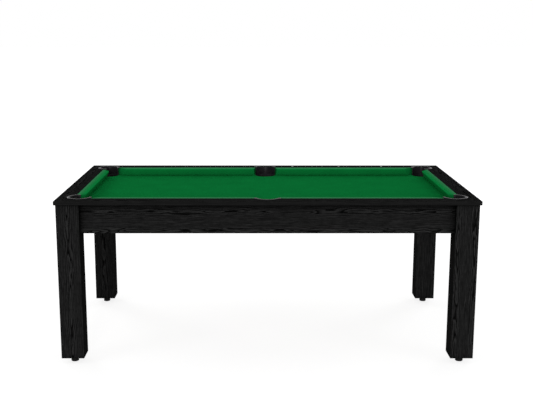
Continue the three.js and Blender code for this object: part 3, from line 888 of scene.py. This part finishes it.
class POOL_OT_pocket_liners(PoolOperator, bpy.types.Operator):
    """Mould the six pocket liners: rim, wall and funnel through the bed"""

    bl_idname = "pool_table.pocket_liners"
    bl_label = "Pocket Liners"

    def execute(self, context):
        plastic = moulded("moulded_abs_pocket", colours().pocket, roughness=0.3, grit=0.7, shine=0.045)
        for name, _, radius, place, corner in pockets():
            bm = bmesh.new()
            merge_in(bm, self.rim(radius, corner))
            merge_in(bm, self.funnel(radius))
            move(bm, place)
            keep_piece(f"pocket_liner_{name}", "moulded", bm, plastic, sharp=40)
        return {"FINISHED"}

    def rim(self, radius, corner):
        s = sizes()
        outer, top = radius + s.rim_width, RAIL_TOP + s.rim_height
        profile = [
            (radius, SLAB_TOP), (radius + s.wall, SLAB_TOP), (radius + s.wall, RAIL_TOP),
            (outer, RAIL_TOP), (outer, top), (radius, top),
        ]
        rounds = [0, 0, 0, 0.3, s.rim_round / MM, s.rim_round / MM]
        if corner:
            turn = 2 * math.pi - s.corner_mouth
            return lathed(profile, s.steps, rounds, start=s.corner_mouth / 2, angle=turn)
        ring = lathed(profile, s.steps, rounds)
        # The middle rim stops in line with the rail boards' inner edge
        low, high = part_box("pocket_cup_back_middle")
        plane = (low.y + high.y) / 2 - RAIL_EDGE_Y - TOUCH_GAP * MM
        cut = bmesh.ops.bisect_plane(
            ring, geom=whole(ring), plane_co=(plane, 0, 0), plane_no=(1, 0, 0), clear_outer=True,
        )
        bmesh.ops.holes_fill(ring, edges=only(bmesh.types.BMEdge, cut["geom_cut"]), sides=0)
        return ring

    def funnel(self, radius):
        s = sizes()
        spout_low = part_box("pocket_liner_front_left")[0].z
        outer = s.spout_radius + s.wall
        throat = SLAB_LOW + TOUCH_GAP * MM
        profile = [
            (radius, SLAB_TOP), (s.spout_radius, throat + s.wall / 2), (s.spout_radius, spout_low),
            (outer, spout_low), (outer, throat), (radius + s.wall, SLAB_TOP - s.wall / 2),
            (radius + s.wall, SLAB_TOP),
        ]
        return lathed(profile, s.steps, [0.6, 3, 0.8, 0.8, 0, 0, 0])


class POOL_OT_pocket_cups(PoolOperator, bpy.types.Operator):
    """Mould the six pocket cups with their screwed ears"""

    bl_idname = "pool_table.pocket_cups"
    bl_label = "Pocket Cups"

    def execute(self, context):
        s = sizes()
        plastic = moulded("moulded_abs_cup", colours().pocket, roughness=0.42, grit=0.7, shine=0.2)
        steel = zinc_steel("zinc_plated_screw")
        for name, _, radius, place, _ in pockets():
            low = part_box(f"pocket_cup_{name}")[0]
            inner = s.spout_radius + s.wall + s.cup_gap
            outer = inner + s.cup_wall
            floor = low.z + s.cup_floor
            bm = lathed([
                (0, low.z), (outer, low.z), (outer, SLAB_LOW), (inner, SLAB_LOW), (inner, floor), (0, floor),
            ], s.steps, [0, 8, 0.6, 0.6, 8, 0])
            ear_end = radius + s.wall + s.cup_gap + s.ear_reach
            ear_low = SLAB_LOW - s.cup_floor
            # The ears lie just under the bed board
            ear_top = SLAB_LOW - 0.02 * MM
            screws = bmesh.new()
            for side in (-1, 1):
                ear = box_solid(
                    (-s.ear_width / 2, inner + s.cup_wall / 2, ear_low), (s.ear_width / 2, ear_end, ear_top),
                    edge=0.8 * MM,
                )
                merge_in(bm, ear, Matrix.Diagonal((1, side, 1, 1)))
                middle = side * (ear_end - s.ear_reach / 2)
                merge_in(screws, self.screw_head(), Matrix.Translation((0, middle, ear_low)))
            move(bm, place)
            move(screws, place)
            keep_piece(f"pocket_cup_{name}", "moulded", bm, plastic, sharp=40)
            keep_piece(f"pocket_cup_screws_{name}", "", screws, steel, sharp=40)
        return {"FINISHED"}

    def screw_head(self):
        """A domed head hanging below z = 0."""
        radius = sizes().screw_radius
        low = -0.6 * radius
        return lathed(
            [(0, 0), (radius, 0), (radius * 0.94, low * 0.7), (radius * 0.5, low), (0, low)], 24,
            [0, 0, 0.4, 0, 0],
        )


class POOL_OT_fasteners(PoolOperator, bpy.types.Operator):
    """Add the corner brackets and the bolts that hold the rails to the bed"""

    bl_idname = "pool_table.fasteners"
    bl_label = "Brackets and Bolts"

    def execute(self, context):
        steel = zinc_steel("zinc_plated_steel")
        for corner in CORNERS:
            bm = solid_copy(f"leg_bracket_{corner}")
            ease(bm, sizes().joint_edge, longer_than(BRACKET_LONG_EDGE), segments=2)
            weigh_normals(keep_piece(f"leg_bracket_{corner}", "eased", bm, steel, sharp=40))
        line_y = (RAIL_EDGE_Y + APRON_INNER_Y) / 2
        line_x = (RAIL_EDGE_X + APRON_INNER_X) / 2
        places = [(x * sx, line_y * sy) for x in SIDE_BOLTS for sx in (-1, 1) for sy in (-1, 1)]
        places += [(line_x * sx, y) for y in END_BOLTS for sx in (-1, 1)]
        bolts = bmesh.new()
        for x, y in places:
            merge_in(bolts, self.bolt_head(), Matrix.Translation((x, y, SLAB_LOW)))
        keep_piece("rail_bolts", "", bolts, steel, sharp=40)
        return {"FINISHED"}

    def bolt_head(self):
        """A hexagon head with its washer, hanging below z = 0."""
        s = sizes()
        thick, height = 1.6 * MM, 4 * MM
        bm = lathed(
            [(0, 0), (s.washer_radius, 0), (s.washer_radius, -thick), (0, -thick)], 32, [0, 0.2, 0.2, 0],
        )
        return merge_in(bm, hexagon(s.bolt_radius, height, -thick - height / 2, 0.5 * MM))


class POOL_OT_feet(PoolOperator, bpy.types.Operator):
    """Build the moulded foot pads, threaded studs and inserts"""

    bl_idname = "pool_table.feet"
    bl_label = "Feet"

    def execute(self, context):
        s = sizes()
        plastic = moulded("moulded_nylon_foot", colours().foot, roughness=0.6, grit=0.5, shine=0.1)
        steel = zinc_steel("zinc_plated_stud")
        for corner in CORNERS:
            low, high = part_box(f"foot_pad_{corner}")
            centre = Matrix.Translation(((low.x + high.x) / 2, (low.y + high.y) / 2, 0))
            radius, socket, deep = (high.x - low.x) / 2, s.socket_radius, high.z - s.socket_depth
            pad = lathed(
                [(0, 0), (radius, 0), (radius, high.z), (socket, high.z), (socket, deep), (0, deep)],
                s.steps, [0, 3, 2, 0.5, 0, 0],
            )
            move(pad, centre)
            node = f"foot_pad_{corner}"
            keep_piece(node, "moulded", pad, plastic, body=node)
            stud = self.stud(corner)
            move(stud, centre)
            node = f"foot_stud_{corner}"
            keep_piece(node, "threaded", stud, steel, body=node, sharp=30)
            set_material(f"foot_insert_{corner}", steel)
        return {"FINISHED"}

    def stud(self, corner):
        """A plain core with a helical ridge, and a hexagon collar to turn it by."""
        s = sizes()
        low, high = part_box(f"foot_stud_{corner}")
        core, crest = s.thread_core, s.thread_crest
        pad_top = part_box(f"foot_pad_{corner}")[1].z
        bm = lathed([(0, low.z), (core, low.z), (core, high.z), (0, high.z)], 32, [0, 0.8, 0.8, 0])
        ridge = bmesh.new()
        start = pad_top + THREAD_START * MM
        pitch = s.thread_pitch
        turns = int((high.z - THREAD_STOP * MM - start) / pitch)
        steps = 20
        inner = [ridge.verts.new((core - 0.2 * MM, 0, start + share * pitch)) for share in (0.08, 0.92)]
        tip = [ridge.verts.new((crest, 0, start + share * pitch)) for share in (0.58, 0.42)]
        face = ridge.faces.new([inner[0], inner[1], tip[0], tip[1]])
        bmesh.ops.spin(
            ridge, geom=[face, *face.edges, *face.verts], cent=(0, 0, 0), axis=(0, 0, 1),
            dvec=(0, 0, pitch / steps), angle=turns * 2 * math.pi, steps=turns * steps,
        )
        merge_in(bm, ridge)
        middle = pad_top + s.collar_height / 2 + COLLAR_GAP * MM
        return merge_in(bm, hexagon(s.collar_radius, s.collar_height, middle, 0.6 * MM))


class POOL_OT_stage(PoolOperator, bpy.types.Operator):
    """Set the pale floor, the soft studio light and the camera"""

    bl_idname = "pool_table.stage"
    bl_label = "Stage"

    def execute(self, context):
        self.floor()
        self.world()
        self.lights()
        self.camera()
        context.scene.view_settings.view_transform = "Standard"
        return {"FINISHED"}

    def floor(self):
        """A large pale floor that shows white to the camera but keeps the table's shadow."""
        bm = bmesh.new()
        bmesh.ops.create_grid(bm, x_segments=8, y_segments=8, size=60.0)
        mesh = bpy.data.meshes.new("studio_floor")
        bm.to_mesh(mesh)
        bm.free()
        mesh.materials.append(white_floor("matt_white_studio_floor"))
        new_object("studio_floor", mesh)

    def world(self):
        """White to the camera and in reflections, softer as a light."""
        world = bpy.data.worlds.new("studio_white")
        add = node_adder(world)
        level = add("MapRange", {"Value": seen_directly(add), "To Min": 0.55})
        back = add("Background", {"Color": (1, 1, 1, 1), "Strength": level})
        add("OutputWorld", {"Surface": back})
        bpy.context.scene.world = world

    def lights(self):
        self.area("left_softbox", (-4.4, -3.1, 3.0), (0, 0, 0.7), 1.8, 34)
        self.area("right_softbox", (4.2, -3.0, 1.4), (0, 0, 0.6), 1.8, 34)
        self.area("low_softbox", (-1.0, -12.0, 2.0), (0, 0, 0.6), 2.2, 700)
        self.area("back_left_softbox", (-3.4, 3.4, 2.2), (0, 0, 0.6), 1.8, 55)
        self.area("back_right_softbox", (3.4, 3.4, 2.2), (0, 0, 0.6), 1.8, 55)
        self.area("overhead_softbox", (0.0, 0.0, 3.6), (0, 0, 0.8), 2.6, 19)

    def area(self, name, place, target, size, power):
        light = bpy.data.lights.new(name, "AREA")
        light.shape = "SQUARE"
        light.size = size
        light.energy = power
        lamp = new_object(name, light)
        lamp.location = place
        lamp.rotation_euler = (Vector(target) - Vector(place)).to_track_quat("-Z", "Y").to_euler()

    def camera(self):
        """The view solved from the photograph's own straight edges."""
        image_width = 533
        focal_pixels = 922.05
        centre_shift = (11.82, 12.82)
        pitch = 11.566
        camera = bpy.data.cameras.new("photo_view")
        camera.sensor_width = 36.0
        camera.lens = focal_pixels / image_width * camera.sensor_width
        camera.shift_x, camera.shift_y = (shift / image_width for shift in centre_shift)
        camera.clip_end = 200.0
        view = new_object("photo_view", camera)
        view.location = (-0.06047, -4.77107, 1.61006)
        view.rotation_euler = (math.radians(90 - pitch), 0, 0)
        bpy.context.scene.camera = view


class POOL_PT_panel(bpy.types.Panel):
    """Lists the building steps and the settings of the table"""

    bl_idname = "POOL_PT_panel"
    bl_label = "Pool Table"
    bl_space_type = "VIEW_3D"
    bl_region_type = "UI"
    bl_category = "Pool Table"

    def draw(self, context):
        for step in STEPS:
            self.layout.operator(step.bl_idname)
        for settings in (sizes(), colours()):
            box = self.layout.box()
            for key in settings.__annotations__:
                box.prop(settings, key)


STEPS = (
    POOL_OT_stage, POOL_OT_rail_boards, POOL_OT_rail_sights, POOL_OT_aprons, POOL_OT_legs, POOL_OT_bed,
    POOL_OT_cushions, POOL_OT_pocket_liners, POOL_OT_pocket_cups, POOL_OT_fasteners, POOL_OT_feet,
)
CLASSES = (PoolTableSizes, PoolTableColours, *STEPS, POOL_PT_panel)


def register():
    for item in CLASSES:
        bpy.utils.register_class(item)
    bpy.types.Scene.pool_table_sizes = PointerProperty(type=PoolTableSizes)
    bpy.types.Scene.pool_table_colours = PointerProperty(type=PoolTableColours)


def unregister():
    del bpy.types.Scene.pool_table_colours
    del bpy.types.Scene.pool_table_sizes
    for item in reversed(CLASSES):
        bpy.utils.unregister_class(item)


def main():
    register()
    for step in STEPS:
        group, name = step.bl_idname.split(".")
        getattr(getattr(bpy.ops, group), name)()


if __name__ == "__main__":
    main()
